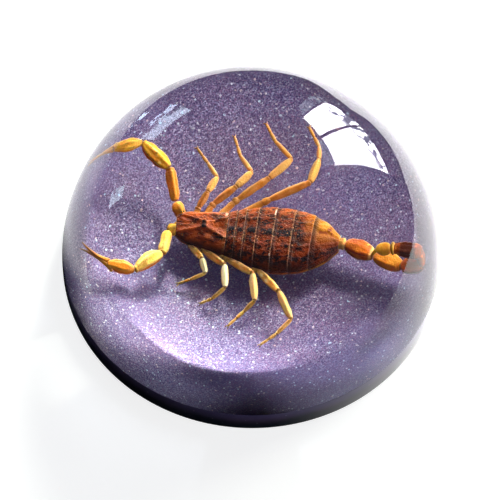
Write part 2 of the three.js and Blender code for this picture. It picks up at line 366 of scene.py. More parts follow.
def make_glitter_foot(flakes):
    """The bare, polished side and underside of the glitter layer, painted nearly black towards the foot as
    painted shade.
    """
    material, tree, shader = new_material("purple_glitter_foot")
    # Painted shade: the purple glitter is given a nearly black ground here.
    glitter = use_group(
        tree, flakes,
        {
            "Flake Size": 0.15, "Ground": (0.012, 0.012, 0.024), "Contrast": 0.06, "Flash Share": 0.004,
            "Tilt": 0.3,
        },
    )
    height = part_of(tree, place_on_piece(tree), "Z")
    # Painted shade: darkest at the foot, purple again near the top of the layer.
    out_of_foot_shade = between(tree, height, 1.0 * MM, GLITTER_TOP * MM)
    dark = blended(tree, out_of_foot_shade, (0.01, 0.014, 0.02), glitter["Color"])
    purple = over(tree, dark, (0.075, 0.055, 0.13), between(tree, height, 2.6 * MM, GLITTER_TOP * MM))
    fill(
        tree, shader,
        {
            "Base Color": purple,
            "Roughness": 0.3,
            "Specular IOR Level": 0.3,
            "Coat Weight": 1.0,
            "Coat Roughness": 0.03,
        },
    )
    return material


# ---- Shells: colours laid over the mottle, by the share around and the number plus the share along ----

CROWN, BELLY = 0.25, 0.75  # shares around a plate
SHELL_GLOSS, TRUNK_GLOSS = 0.25, 0.12


def joint_ends(tree, along, width):
    """1 at both ends of every segment."""
    return near(tree, calculate(tree, "FRACT", along), 0.5, 0.5 - width, 0.495)


def paint_legs(tree, shell, around, along):
    """Pale straw, browner at the joints, browner underneath as painted shade, with a painted highlight on
    each patella's top, and more orange on the far side of the animal.
    """
    place = place_on_piece(tree)
    far = between(tree, part_of(tree, place, "Y"), 0.0, 4 * MM)
    rearward = between(tree, part_of(tree, place, "X"), -3 * MM, 1 * MM)
    warm = over(tree, shell, (0.62, 0.2, 0.014), far, 0.6)
    # Painted shade: browner underneath.
    painted_underside_shade = over(tree, warm, (0.45, 0.1, 0.008), near(tree, around, CROWN, 0.2, 0.36), 0.85)
    cream = blended(tree, rearward, (1.0, 0.86, 0.5), (0.88, 0.52, 0.17))
    patella_highlight = blended(tree, far, cream, (0.8, 0.42, 0.09))
    patella = near(tree, along, 3.5, 0.52, 0.38)
    # Painted highlight: a pale crown on top of each patella.
    pale = over(tree, painted_underside_shade, patella_highlight, near(tree, around, CROWN, 0.26, 0.12), patella, 0.75)
    return over(tree, pale, (0.25, 0.05, 0.005), joint_ends(tree, along, 0.07), 0.65)


def paint_claws(tree, shell, around, along):
    """Golden yellow, red-orange underneath as painted shade, with brown joints, a paler left arm and a left
    hand darkened as painted shade.
    """
    across = part_of(tree, place_on_piece(tree), "Y")
    left = between(tree, across, 0.0, -3 * MM)
    right = between(tree, across, 0.0, 3 * MM)
    paler = over(tree, shell, (0.95, 0.66, 0.17), left, between(tree, along, 3.02, 2.98), 0.6)
    # Painted shade: the left hand is darker orange.
    left_hand_shaded = over(tree, paler, (0.6, 0.17, 0.01), left, between(tree, along, 2.98, 3.02), 0.75)
    browner = over(tree, left_hand_shaded, (0.6, 0.17, 0.012), between(tree, along, 2.1, 1.9), right, 0.7)
    # Painted shade: red-orange underneath.
    painted_underside_shade = over(tree, browner, (0.62, 0.09, 0.004), near(tree, around, CROWN, 0.13, 0.3), 0.9)
    jointed = over(tree, painted_underside_shade, (0.2, 0.03, 0.004), joint_ends(tree, along, 0.07), 0.8)
    return over(tree, jointed, (0.85, 0.33, 0.05), between(tree, along, 4.0, 4.3), 0.6)


# Painted glints on the back, small pale flecks: place along, place around, length, width
PAINTED_GLINT_FLECKS = ((4.955, 0.36, 0.05, 0.035), (0.96, 0.37, 0.04, 0.03), (4.95, 0.14, 0.04, 0.008))


def paint_trunk(tree, shell, around, along):
    """Dark maroon plates streaked with orange: thin bright rear edges, a broken line, a golden rump, painted
    highlights and glints, and painted shade on the near flank.
    """
    place = place_on_piece(tree)
    patches = noise(tree, place, 900.0, 3.0)
    fine = noise(tree, place, 3000.0)
    specks = noise(tree, place, 4600.0, 1.0)
    share = calculate(tree, "FRACT", along)
    on_head = calculate(tree, "LESS_THAN", along, 1.0)
    behind_head = calculate(tree, "SUBTRACT", 1.0, on_head)
    lit_far_side = between(tree, around, 0.3, 0.42)
    head = over(tree, shell, (0.38, 0.06, 0.008), on_head, between(tree, patches, 0.42, 0.6))
    # Painted highlight: orange patches on the far, lit side.
    lit_far_patches = over(tree, head, (0.66, 0.14, 0.014), lit_far_side, between(tree, patches, 0.38, 0.58), 0.7)
    shoulder = times(tree, near(tree, around, 0.105, 0.045, 0.02), behind_head)
    spotted = over(tree, lit_far_patches, (0.014, 0.008, 0.012), shoulder, between(tree, patches, 0.48, 0.56), 0.85)
    dash = times(tree, near(tree, around, CROWN, 0.013, 0.007), between(tree, share, 0.18, 0.3))
    dashed = over(tree, spotted, (0.012, 0.009, 0.014), dash, behind_head, between(tree, fine, 0.3, 0.5))
    rump = times(tree, between(tree, along, 6.3, 7.2), between(tree, around, 0.12, 0.24))
    rumped = over(tree, dashed, (0.3, 0.05, 0.008), rump, 0.7)
    # The rump is golden in its own colour, and brightest on top and on the far side as painted highlight.
    golden = times(tree, between(tree, along, 6.4, 7.3), between(tree, around, 0.2, 0.34))
    golden_with_highlight = over(tree, rumped, (0.68, 0.24, 0.014), golden, between(tree, patches, 0.32, 0.5), 0.95)
    fronted = over(tree, golden_with_highlight, (0.02, 0.006, 0.006), between(tree, share, 0.3, 0.05), behind_head, 0.8)
    ragged = times(tree, between(tree, share, 0.92, 0.96), between(tree, fine, 0.38, 0.56))
    # The rear edges are paler in their own colour, and brighter on the far side as painted highlight.
    lit_edge_strength = calculate(tree, "MULTIPLY_ADD", lit_far_side, 0.45, 0.3)
    before_rump = times(tree, near(tree, around, CROWN, 0.26, 0.2), between(tree, along, 7.1, 5.9))
    edged = over(tree, fronted, (0.75, 0.32, 0.1), ragged, lit_edge_strength, before_rump)
    # The near flank is darker: its own membrane colour, deepened with painted shade.
    flank_shade_strength = calculate(tree, "MULTIPLY_ADD", between(tree, along, 7.2, 6.3), 0.5, 0.3)
    near_flank_shaded = over(tree, edged, (0.04, 0.008, 0.006), between(tree, around, 0.15, 0.04), flank_shade_strength)
    # Painted glints: small pale specks on the plates before the rump.
    glint_spots = times(tree, between(tree, specks, 0.67, 0.73), between(tree, around, 0.1, 0.22))
    glinting = over(tree, near_flank_shaded, (1.0, 0.5, 0.22), glint_spots, between(tree, along, 6.6, 6.2), 0.6)
    eye_hill = times(tree, near(tree, along, 0.54, 0.055, 0.03), near(tree, around, CROWN, 0.03, 0.018))
    marked = over(tree, glinting, (0.006, 0.004, 0.006), eye_hill, 0.9)
    # Painted glints: small pale flecks on the back.
    for glint_along, glint_around, length, width in PAINTED_GLINT_FLECKS:
        lengthwise = near(tree, along, glint_along, length, 0.4 * length)
        crosswise = near(tree, around, glint_around, width, 0.4 * width)
        marked = over(tree, marked, (1.0, 0.86, 0.7), lengthwise, crosswise, between(tree, fine, 0.3, 0.55))
    return over(tree, marked, (0.12, 0.03, 0.01), near(tree, around, BELLY, 0.26, 0.2))


def paint_tail(tree, shell, around, along):
    """A straw neck, clear orange barrels, a red one, and a nearly black last segment, with painted light on
    the barrel before the red one, a painted highlight at the joint between the first two barrels and painted
    shade underneath.
    """
    straw = over(tree, shell, (0.9, 0.52, 0.14), between(tree, along, 1.02, 0.9), 0.8)
    red = over(tree, straw, (1.0, 0.2, 0.02), near(tree, along, 3.5, 0.55, 0.45), 0.7)
    # Painted light: the barrel before the red one is lightened.
    painted_light_barrel = over(tree, red, (1.0, 0.36, 0.03), near(tree, along, 2.5, 0.52, 0.44), 0.85)
    ruddy = over(tree, painted_light_barrel, (0.8, 0.16, 0.02), between(tree, along, 4.9, 5.1), 0.85)
    blackened = over(tree, ruddy, (0.1, 0.022, 0.016), near(tree, along, 5.55, 0.34, 0.2), 0.9)
    # Painted highlight: a pale band at the joint between the first two barrels.
    joint_highlighted = over(tree, blackened, (1.0, 0.62, 0.2), near(tree, along, 1.95, 0.14, 0.05), 0.7)
    # Painted shade: darker red underneath.
    painted_underside_shade = over(tree, joint_highlighted, (0.22, 0.022, 0.006), near(tree, around, 0.27, 0.16, 0.34), 0.8)
    return over(tree, painted_underside_shade, (0.2, 0.025, 0.006), joint_ends(tree, along, 0.06), 0.8)


def paint_bulb(tree, shell, around, along):
    """The venom bulb, its collar and the root of the sting: smooth and pale orange, with painted shade
    underneath.
    """
    # Painted shade: darker underneath.
    painted_underside_shade = over(tree, shell, (0.7, 0.12, 0.01), near(tree, around, 0.27, 0.2, 0.36), 0.8)
    return over(tree, painted_underside_shade, (0.12, 0.012, 0.004), between(tree, along, 8.3, 8.9))


# Each shell's paint, relief in millimetres, how much light goes into it, gloss, light, dark and crest
# colours (the crest colour is a painted highlight), streaks around and along, and how dark and light are
# balanced
SHELLS = {
    "trunk_shell": (
        paint_trunk, 0.22, 0.1, TRUNK_GLOSS, (0.27, 0.038, 0.008), (0.01, 0.003, 0.005), (0.8, 0.26, 0.05),
        80.0, 3.4, 0.49,
    ),
    "leg_shell": (
        paint_legs, 0.12, 0.4, SHELL_GLOSS, (0.95, 0.53, 0.15), (0.75, 0.3, 0.045), (1.0, 0.82, 0.4),
        7.0, 3.0, 0.48,
    ),
    "claw_shell": (
        paint_claws, 0.12, 0.5, SHELL_GLOSS, (1.0, 0.54, 0.03), (0.92, 0.3, 0.012), (1.0, 0.76, 0.16),
        10.0, 3.0, 0.48,
    ),
    "tail_shell": (
        paint_tail, 0.15, 0.5, SHELL_GLOSS, (0.8, 0.19, 0.01), (0.45, 0.055, 0.004), (1.0, 0.62, 0.12),
        14.0, 1.6, 0.47,
    ),
    "bulb_shell": (
        paint_bulb, 0.04, 0.5, SHELL_GLOSS, (1.0, 0.44, 0.03), (1.0, 0.32, 0.015), (1.0, 0.8, 0.35),
        6.0, 1.5, 0.42,
    ),
}
FINISHES = (*SHELLS, "eye_bead")


def make_shell(name, mottle):
    """A dried shell: the mottle, its paint over it, a little light let in, and the relief."""
    paint, relief, glow, gloss, light, dark, crest, streaks_around, streaks_along, balance = SHELLS[name]
    material, tree, shader = new_material(name)
    grown = add_node(tree, "ShaderNodeTexCoord").outputs["UV"]
    around, along = part_of(tree, grown, "X"), part_of(tree, grown, "Y")
    mottled = use_group(
        tree, mottle,
        {
            "Light": light, "Dark": dark, "Crest Highlight": crest, "Around": around, "Along": along,
            "Streaks Around": streaks_around, "Streaks Along": streaks_along, "Balance": balance,
        },
    )
    raised = add_node(
        tree, "ShaderNodeBump", {"Height": mottled["Height"], "Strength": 0.7, "Distance": relief * MM}
    ).outputs["Normal"]
    fill(
        tree, shader,
        {
            "Base Color": paint(tree, mottled["Color"], around, along),
            "Normal": raised,
            "Roughness": 0.3,
            "Specular IOR Level": gloss,
            "Subsurface Weight": glow,
            "Subsurface Radius": (1.0, 0.65, 0.4),
            "Subsurface Scale": 1.2 * MM,
        },
    )
    return material


def make_eye_bead():
    """Black, wet-looking eyes."""
    material, tree, shader = new_material("eye_bead")
    black = blended(tree, noise(tree, None, 900.0), (0.004, 0.004, 0.005), (0.02, 0.015, 0.02))
    fill(tree, shader, {"Base Color": black, "Roughness": 0.08})
    return material


# ---- Meshes, and the turned pieces: the dome and the glitter layer ----


def new_piece(name, points, faces, *materials):
    """An object with the given mesh, in metres, and finishes."""
    mesh = bpy.data.meshes.new(name)
    mesh.from_pydata(points, [], faces)
    for material in materials:
        mesh.materials.append(material)
    made = bpy.data.objects.new(name, mesh)
    bpy.context.scene.collection.objects.link(made)
    return made


def finish_faces(made, finishes):
    """Gives each face the number of its finish, and smooth shading."""
    made.data.polygons.foreach_set("material_index", finishes)
    made.data.polygons.foreach_set("use_smooth", [True] * len(finishes))


def turned(name, outline, finishes, materials):
    """Turns an outline of (radius, height) that starts and ends on the axis, with a finish for each band."""
    angles = np.linspace(0, 2 * math.pi, ROUND_SIDES, endpoint=False)
    rings = [(radius, height) for radius, height in outline if radius > 0]
    points = [
        (radius * math.cos(angle), radius * math.sin(angle), height)
        for radius, height in rings
        for angle in angles
    ]
    points += [(0, 0, outline[0][1]), (0, 0, outline[-1][1])]
    first_pole, last_pole = len(points) - 2, len(points) - 1
    faces, numbers = [], []
    for side in range(ROUND_SIDES):
        following = (side + 1) % ROUND_SIDES
        faces.append((first_pole, following, side))
        numbers.append(finishes[0])
        for ring in range(len(rings) - 1):
            here, above = ring * ROUND_SIDES, (ring + 1) * ROUND_SIDES
            faces.append((here + side, here + following, above + following, above + side))
            numbers.append(finishes[ring + 1])
        top = (len(rings) - 1) * ROUND_SIDES
        faces.append((last_pole, top + side, top + following))
        numbers.append(finishes[-1])
    made = new_piece(name, [Vector(point) * MM for point in points], faces, *materials)
    finish_faces(made, numbers)
    made.data.set_sharp_from_angle(angle=math.radians(28))
    return made


def ball_radius(height):
    return math.sqrt(max(DOME_RADIUS**2 - height**2, 0.0))


def ball_arc(low, high, steps):
    """Points of (radius, height) on the ball between two heights."""
    start, end = math.asin(low / DOME_RADIUS), math.asin(high / DOME_RADIUS)
    return [
        (DOME_RADIUS * math.cos(angle), DOME_RADIUS * math.sin(angle))
        for angle in np.linspace(start, end, steps + 1)
    ]


def make_dome(resin):
    """One clear piece for both halves of the casting, with its foot in the glitter layer."""
    arc = ball_arc(GLITTER_TOP, DOME_RADIUS, 84)[:-1]
    skirt = GLITTER_TOP - SEAM_OVERLAP
    outline = [(0, skirt), (ball_radius(GLITTER_TOP) - SEAM_OVERLAP, skirt), *arc, (0, DOME_RADIUS)]
    return turned("clear_resin", outline, [0] * (len(outline) - 1), [resin])


def make_glitter_layer(inside, foot):
    """The purple layer: its top lies in the clear resin, and its side and foot are bare."""
    bevel = [
        (ball_radius(0) - FOOT_BEVEL * (1 - math.sin(turn)), FOOT_BEVEL * (1 - math.cos(turn)))
        for turn in np.linspace(0, math.pi / 2, 7)[:-1]
    ]
    side = ball_arc(FOOT_BEVEL, GLITTER_TOP, 12)
    outline = [(0, 0), *bevel, *side, (0, GLITTER_TOP)]
    bands = len(outline) - 1
    return turned("glitter_layer", outline, [1] * (bands - 1) + [0], [inside, foot])


# ---- The scorpion: grown plates, each a closed loft of rings ----


class Shell:
    """Gathers lofts into one mesh with the share around and along each as its map."""

    def __init__(self):
        self.points, self.faces, self.maps, self.finishes = [], [], [], []
        self.count = 0

    def loft(self, rings, along, finish):
        """rings is an array of (rings, sides, 3); along holds each ring's place for the map."""
        total, sides = rings.shape[:2]
        poles = np.array([rings[0].mean(axis=0), rings[-1].mean(axis=0)])
        base = self.count
        self.points.append(np.vstack([rings.reshape(-1, 3), poles]))
        self.count += total * sides + 2
        number = FINISHES.index(finish)
        for side in range(sides):
            following = (side + 1) % sides
            u, u_next = side / sides, (side + 1) / sides
            self.faces.append((base + total * sides, base + following, base + side))
            self.maps += [((u + u_next) / 2, along[0]), (u_next, along[0]), (u, along[0])]
            last = base + (total - 1) * sides
            self.faces.append((base + total * sides + 1, last + side, last + following))
            self.maps += [((u + u_next) / 2, along[-1]), (u, along[-1]), (u_next, along[-1])]
            self.finishes += [number, number]
        for ring in range(total - 1):
            here, above = base + ring * sides, base + (ring + 1) * sides
            low, high = along[ring], along[ring + 1]
            for side in range(sides):
                following = (side + 1) % sides
                u, u_next = side / sides, (side + 1) / sides
                self.faces.append((here + side, here + following, above + following, above + side))
                self.maps += [(u, low), (u_next, low), (u_next, high), (u, high)]
                self.finishes.append(number)

    def build(self, name, materials):
        points = np.vstack(self.points)
        points[:, 2] += GLITTER_TOP
        made = new_piece(name, (points * MM).tolist(), self.faces, *materials)
        layer = made.data.uv_layers.new(name="grown")
        layer.data.foreach_set("uv", np.array(self.maps, dtype=np.float32).ravel())
        finish_faces(made, self.finishes)
        return made


def smooth_through(stations, places):
    """A smooth curve through (place, value) stations, read at the given places."""
    xs, ys = np.array(stations, dtype=float).T
    slopes = np.gradient(ys, xs)
    index = np.clip(np.searchsorted(xs, places) - 1, 0, len(xs) - 2)
    span = xs[index + 1] - xs[index]
    t = np.clip((places - xs[index]) / span, 0, 1)
    before = (2 * t**3 - 3 * t**2 + 1) * ys[index] + (t**3 - 2 * t**2 + t) * slopes[index] * span
    after = (-2 * t**3 + 3 * t**2) * ys[index + 1] + (t**3 - t**2) * slopes[index + 1] * span
    return before + after


def axes_of(start, end):
    """The way from start to end, the side to its right, the way nearest to straight up, and the length."""
    way = np.array(end, float) - np.array(start, float)
    length = np.linalg.norm(way)
    way /= length
    side = np.cross(way, (0, 0, 1))
    side /= np.linalg.norm(side)
    return way, side, np.cross(side, way), length


def kept_inside(number, share):
    """A plate's number plus the share along it, just clear of the whole numbers where plates meet."""
    return number + 0.001 + 0.998 * share


WAVES = np.random.default_rng(11).uniform(-1, 1, (7, 4))


def unevenness(points, size):
    """A smooth uneven value between about -1 and 1 at each point, with hills about size millimetres apart."""
    total = np.zeros(points.shape[:-1])
    for x, y, z, phase in WAVES:
        way = np.array((x, y, z)) / math.sqrt(x * x + y * y + z * z)
        total += np.sin(points @ way * (2 * math.pi / size) * (1 + 0.4 * phase) + 9 * phase)
    return total / 3.5


def segment(shell, start, end, radii, finish, number=0, high=1.0, ridges=(0, 0.0), bow=(0.0, 0.0), groove=0.0,
            sides=20, rings=26, overrun=0.25, blunt=0.75, furrow=0.0, uneven=0.06):
    """One hard segment. radii are (share of the length, radius); ridges are how many and how high."""
    way, side, top, length = axes_of(start, end)
    share = 0.5 - 0.5 * np.cos(np.linspace(0, math.pi, rings))
    radius = np.maximum(smooth_through(radii, share), 0.02)
    reach = length + overrun * (radii[0][1] + radii[-1][1])
    distance = share * reach
    for end_radius, away in ((radii[0][1], distance), (radii[-1][1], reach - distance)):
        rounding = blunt * end_radius
        closeness = np.clip(1 - away / rounding, 0, 1)
        radius = radius * np.sqrt(np.maximum(1 - closeness**2, 0.0004))
    angle = np.linspace(0, 2 * math.pi, sides, endpoint=False)
    from_top = angle[None, :] - math.pi / 2
    arch = 4 * share * (1 - share)
    fade = np.clip(arch, 0, 1)[:, None]
    form = 1 + ridges[1] * fade * np.cos(ridges[0] * from_top)
    form = form - groove * fade * np.exp(-((from_top / 0.3) ** 2))
    form = form - furrow * np.exp(-(((share[:, None] - 0.9) / 0.03) ** 2))
    across = radius[:, None] * form * np.cos(angle)
    upward = radius[:, None] * form * np.sin(angle) * high
    begin = np.array(start, float) - way * overrun * radii[0][1]
    axis = begin + np.outer(distance, way) + np.outer(arch * bow[0], side) + np.outer(arch * bow[1], top)
    outward = across[:, :, None] * side + upward[:, :, None] * top
    points = axis[:, None, :] + outward
    swell = 1 + uneven * fade * (unevenness(points, 1.5) + 0.5 * unevenness(points, 0.55))
    shell.loft(axis[:, None, :] + outward * swell[:, :, None], kept_inside(number, share), finish)


def bead(shell, centre, radius, finish, number=1, sides=16, rings=12):
    """A round joint or eye."""
    turn = np.linspace(0.02, math.pi - 0.02, rings)
    angle = np.linspace(0, 2 * math.pi, sides, endpoint=False)
    points = np.empty((rings, sides, 3))
    points[..., 0] = np.sin(turn)[:, None] * np.cos(angle) * radius
    points[..., 1] = np.sin(turn)[:, None] * np.sin(angle) * radius
    points[..., 2] = -np.cos(turn)[:, None] * radius
    shell.loft(points + np.array(centre, float), number + 0.3 + 0.4 * turn / math.pi, finish)


def toward(start, end, share):
    return tuple(a + (b - a) * share for a, b in zip(start, end))


def grow_leg(shell, size, root, hip, knee, heel, ankle, toe):
    """Coxa, trochanter, femur, patella, tibia and two tarsus pieces with a pair of claws."""

    def part(number, start, end, *radii, **form):
        stout = [(share, radius * size) for share, radius in radii]
        segment(shell, start, end, stout, "leg_shell", number, **form)

    middle = toward(ankle, toe, 0.48)
    part(0, root, toward(root, hip, 0.93), (0, 0.6), (0.5, 0.5), (1, 0.44))
    part(
        1, toward(root, hip, 0.9), toward(hip, knee, 0.1), (0, 0.34), (0.5, 0.52), (1, 0.34),
        rings=20, uneven=0.1,
    )
    part(
        2, toward(hip, knee, 0.03), knee, (0, 0.28), (0.18, 0.43), (0.72, 0.49), (1, 0.4),
        high=1.15, ridges=(4, 0.11), furrow=0.16, rings=34, uneven=0.07,
    )
    part(
        3, knee, heel, (0, 0.32), (0.16, 0.47), (0.45, 0.53), (0.86, 0.42), (1, 0.31),
        high=1.1, ridges=(4, 0.11), furrow=0.14, rings=34, uneven=0.08,
    )
    part(
        4, heel, ankle, (0, 0.25), (0.3, 0.33), (0.8, 0.29), (1, 0.24),
        ridges=(3, 0.06), furrow=0.12, rings=30, uneven=0.05,
    )
    part(5, ankle, middle, (0, 0.21), (0.4, 0.26), (1, 0.2), rings=18, sides=16)
    part(6, middle, toe, (0, 0.17), (0.5, 0.21), (1, 0.16), rings=18, sides=16)
    way, side, _, _ = axes_of(ankle, toe)
    for spread in (-1, 1):
        tip = np.array(toe) + way * 0.42 + side * spread * 0.26 + np.array((0, 0, -0.16))
        claw = [(0, 0.09), (0.5, 0.07), (1, 0.03)]
        segment(shell, toe, tip, claw, "leg_shell", 6, bow=(0.05 * spread, 0.05), rings=10, sides=8)


def grow_arm(shell, arm):
    """Trochanter, femur, patella and the claw: a hand with a fixed and a movable finger."""
    root, shoulder, elbow, wrist, palm = arm["joints"]
    spread = arm["spread"]

    def part(number, start, end, *radii, **form):
        segment(shell, start, end, radii, "claw_shell", number, **form)

    part(
        0, root, shoulder, (0, 0.8), (0.35, 0.72), (0.75, 0.88), (1, 0.62),
        ridges=(5, 0.07), uneven=0.1, rings=30, sides=28,
    )
    part(
        1, toward(shoulder, elbow, 0.06), elbow,
        (0, 0.46), (0.12, 0.66), (0.5, 0.72), (0.85, 0.77), (1, 0.58),
        ridges=(5, 0.15), furrow=0.12, rings=48, sides=40, uneven=0.07, blunt=0.5,
    )
    part(
        2, toward(elbow, wrist, 0.02), wrist, (0, 0.44), (0.14, 0.82), (0.4, 1.03), (0.78, 0.84), (1, 0.5),
        ridges=(6, 0.12), furrow=0.12, rings=52, sides=48, uneven=0.07, blunt=0.5, bow=(-spread * 0.4, 0.12),
    )
    part(
        3, toward(wrist, palm, 0.02), palm, (0, 0.36), (0.14, 0.78), (0.38, 1.12), (0.7, 0.94), (1, 0.5),
        high=0.94, ridges=(8, 0.05), rings=48, sides=44, blunt=0.5, uneven=0.05,
    )
    for finger, outward in (("fixed", spread), ("movable", -spread)):
        part(
            4, *arm[finger], (0, 0.46), (0.2, 0.34), (0.6, 0.24), (0.9, 0.13), (1, 0.05),
            bow=(outward, 0.1), rings=40, sides=18, uneven=0.05, high=1.2,
        )
    bead(shell, toward(*arm["movable"], 0.02), 0.44, "claw_shell", number=4)


def grow_tail(shell):
    """Four segments out, a turn upward, the last one coming back, the venom bulb with its collar, sting."""

    def part(number, start, end, *radii, finish="tail_shell", **form):
        segment(shell, start, end, radii, finish, number, **form)

    for number, radii in enumerate((
        ((0, 0.8), (0.2, 0.9), (0.5, 0.82), (0.8, 0.92), (1, 0.72)),
        ((0, 0.72), (0.16, 1.16), (0.42, 1.5), (0.75, 1.28), (0.92, 0.95), (1, 0.7)),
        ((0, 0.7), (0.16, 1.15), (0.45, 1.42), (0.78, 1.24), (0.93, 0.98), (1, 0.72)),
        ((0, 0.74), (0.16, 1.2), (0.5, 1.38), (0.85, 1.25), (1, 0.9)),
    )):
        part(
            number, *TAIL[number:number + 2], *radii,
            high=0.94, ridges=(8, 0.05), groove=0.12, rings=64, sides=72, blunt=0.5, overrun=0.12,
            furrow=0.06, uneven=0.035,
        )
    part(3, *TAIL_FOLD, (0, 0.95), (0.5, 1.15), (1, 0.95), rings=30, sides=48, uneven=0.05)
    part(
        5, *TAIL_LAST, (0, 1.05), (0.15, 1.3), (0.5, 1.36), (0.8, 1.16), (1, 0.86),
        ridges=(8, 0.06), groove=0.08, rings=70, sides=72, blunt=0.4, overrun=0.05, furrow=0.12, uneven=0.05,
    )
    part(
        7, *BULB_COLLAR, (0, 0.95), (0.5, 1.12), (1, 0.9),
        finish="bulb_shell", rings=16, sides=44, uneven=0.02,
    )
    part(
        7, *VENOM_BULB, (0, 0.62), (0.14, 0.88), (0.44, 1.06), (0.78, 0.84), (1, 0.4),
        finish="bulb_shell", rings=44, sides=44, overrun=0.1, uneven=0.02,
    )
    part(
        8, toward(VENOM_BULB[1], VENOM_BULB[0], 0.12), STING_TIP,
        (0, 0.42), (0.4, 0.28), (0.8, 0.13), (1, 0.04),
        finish="bulb_shell", bow=(0.0, 0.45), rings=30, sides=16,
    )


def grow_jaws(shell):
    """Two short jaws under the front edge of the head shield, each with two small teeth."""
    x, y, z = HEAD
    for side in (-1, 1):
        root = (x + 1.6, y + 0.62 * side - 0.35, z + 0.1)
        tip = (x - 0.15, y + 0.52 * side - 0.3, z - 0.35)
        jaw = [(0, 0.5), (0.5, 0.62), (1, 0.42)]
        segment(shell, root, tip, jaw, "claw_shell", number=2, high=0.9, uneven=0.1)
        for lift in (-0.2, 0.2):
            gum = (tip[0], tip[1], tip[2] + lift)
            point = (tip[0] - 0.7, tip[1] - 0.12 * side, tip[2] - 0.15 + lift)
            segment(shell, gum, point, [(0, 0.2), (1, 0.06)], "trunk_shell", rings=10, sides=10)


def hill(value, centre, width):
    return np.exp(-(((value - centre) / width) ** 2))


def carapace_relief(along, across):
    """Heights on the head shield: the eye hill, the middle groove, the crests and the rear hollow."""
    away = np.abs(across)
    height = 0.5 * hill(along, 4.0, 0.75) * hill(across, 0.0, 0.6)
    height = height - 0.22 * hill(across, 0.0, 0.22) * (1 - hill(along, 4.0, 0.9)) * hill(along, 2.0, 1.8)
    hollow_width = 0.28 + 0.2 * np.clip(along - 4.6, 0, 3)
    height = height - 0.38 * hill(across, 0.0, hollow_width) * hill(along, 6.3, 1.2)
    crest = 0.45 + 0.28 * np.clip(3.9 - along, 0, 4) + 0.42 * np.clip(along - 4.4, 0, 3)
    height = height + 0.3 * hill(away, crest, 0.2)
    height = height + 0.12 * hill(away, 0.72 * (1.8 + 0.22 * along), 0.2) * hill(along, 4.5, 2.4)
    return height - 0.3 * hill(away, 1.1, 0.45) * hill(along, 5.2, 0.8)


def tergite_relief(share, across, half_width, number):
    """Heights on one back plate: the lapped edge, the furrow, three keels and faint cross creases."""
    height = 0.3 * share**1.5 + 0.08 * hill(share, 0.93, 0.05) - 0.14 * hill(share, 0.22, 0.09)
    keel = 0.24 if number < 7 else 0.08
    height = height + keel * hill(across, 0.0, 0.14) * np.clip(1.6 * share, 0, 1)
    height = height + 0.16 * hill(np.abs(across), 0.42 * half_width, 0.2) * np.clip(1.4 * share, 0, 1)
    height = height - 0.1 * hill(np.abs(across), 0.24 * half_width, 0.3) * hill(share, 0.55, 0.25)
    return height + 0.06 * np.sin(across * 3.1 + number) * hill(share, 0.6, 0.25)


def trunk_rings():
    """Each ring's place along the trunk, its plate's number and its share along that plate."""
    edge, rows = 0.0, []
    for number, length in enumerate((CARAPACE_LENGTH, *TERGITE_LENGTHS)):
        following = edge + length
        steps = 44 if number == 0 else max(14, int((following - edge) * 9))
        for step in range(steps):
            share = step / (steps - 1)
            rows.append((edge + (following - edge) * (0.001 + 0.998 * share), number, share))
        edge = following
    return rows


def grow_trunk(shell):
    """Head shield and seven lapped back plates over a folded flank and a flat belly, as one closed form."""
    way, side, top, length = axes_of(HEAD, TAIL_ROOT)
    rows = trunk_rings()
    places = np.array([place for place, _, _ in rows])
    table = np.array(TRUNK)
    half, back, belly = (smooth_through(table[:, (0, column)], places) for column in (1, 2, 3))
    sides = 128
    angle = np.linspace(0, 2 * math.pi, sides, endpoint=False)
    cosine, sine = np.cos(angle), np.sin(angle)
    on_back = np.clip((sine - 0.12) / 0.3, 0, 1)
    points = np.empty((len(places), sides, 3))
    for ring, (place, number, share) in enumerate(rows):
        across = half[ring] * np.sign(cosine) * np.abs(cosine) ** 0.82
        upper = back[ring] * np.clip(sine, 0, 1) ** 0.85
        lower = belly[ring] * np.clip(-sine, 0, 1) ** 0.75
        if number == 0:
            relief = carapace_relief(place, across)
            lip, fine_grain = 0.1 * hill(share, 1.0, 0.04), 0.06
        else:
            relief = tergite_relief(share, across, half[ring], number)
            lip, fine_grain = 0.0, 0.04
        folds = 0.07 * np.sin(place * 4.2) * np.sin(angle * 9) * np.clip(1 - np.abs(sine - 0.02) / 0.3, 0, 1)
        swell = 1 + 0.012 * np.sin(math.pi * share) * (np.abs(cosine) > 0.5)
        spots = np.column_stack((across, np.full(sides, place), np.full(sides, 3.1 * number)))
        grain = 0.07 * unevenness(spots, 1.3) + fine_grain * unevenness(spots, 0.5)
        height = upper - lower + (relief + lip - 0.1) * on_back
        height = height + grain * on_back
        share_along = place / length
        middle = np.array(HEAD) + way * place + side * (4 * TRUNK_BOW * share_along * (1 - share_along))
        outward = across * swell + folds * np.sign(cosine)
        points[ring] = middle + np.outer(outward, side) + np.outer(height, top)
    shell.loft(points, [kept_inside(number, share) for _, number, share in rows], "trunk_shell")


def grow_eyes(shell):
    """Two eyes on the hill of the head shield, and three small ones at each front corner."""
    way, side, top, _ = axes_of(HEAD, TAIL_ROOT)
    for sign in (-1, 1):
        place = np.array(HEAD) + way * 3.95 + side * (0.42 + 0.36 * sign) + top * 2.5
        bead(shell, place, 0.29, "eye_bead")
        for step in range(3):
            forward, outward = 0.55 + 0.33 * step, 1.72 + 0.12 * step
            small = np.array(HEAD) + way * forward + side * outward * sign + top * 1.2
            bead(shell, small, 0.12, "eye_bead", sides=10, rings=8)


def make_scorpion(materials):
    shell = Shell()
    grow_trunk(shell)
    grow_eyes(shell)
    grow_jaws(shell)
    for leg in LEGS:
        grow_leg(shell, *leg)
    for arm in (RIGHT_ARM, LEFT_ARM):
        grow_arm(shell, arm)
    grow_tail(shell)
    return shell.build("dried_scorpion", materials)


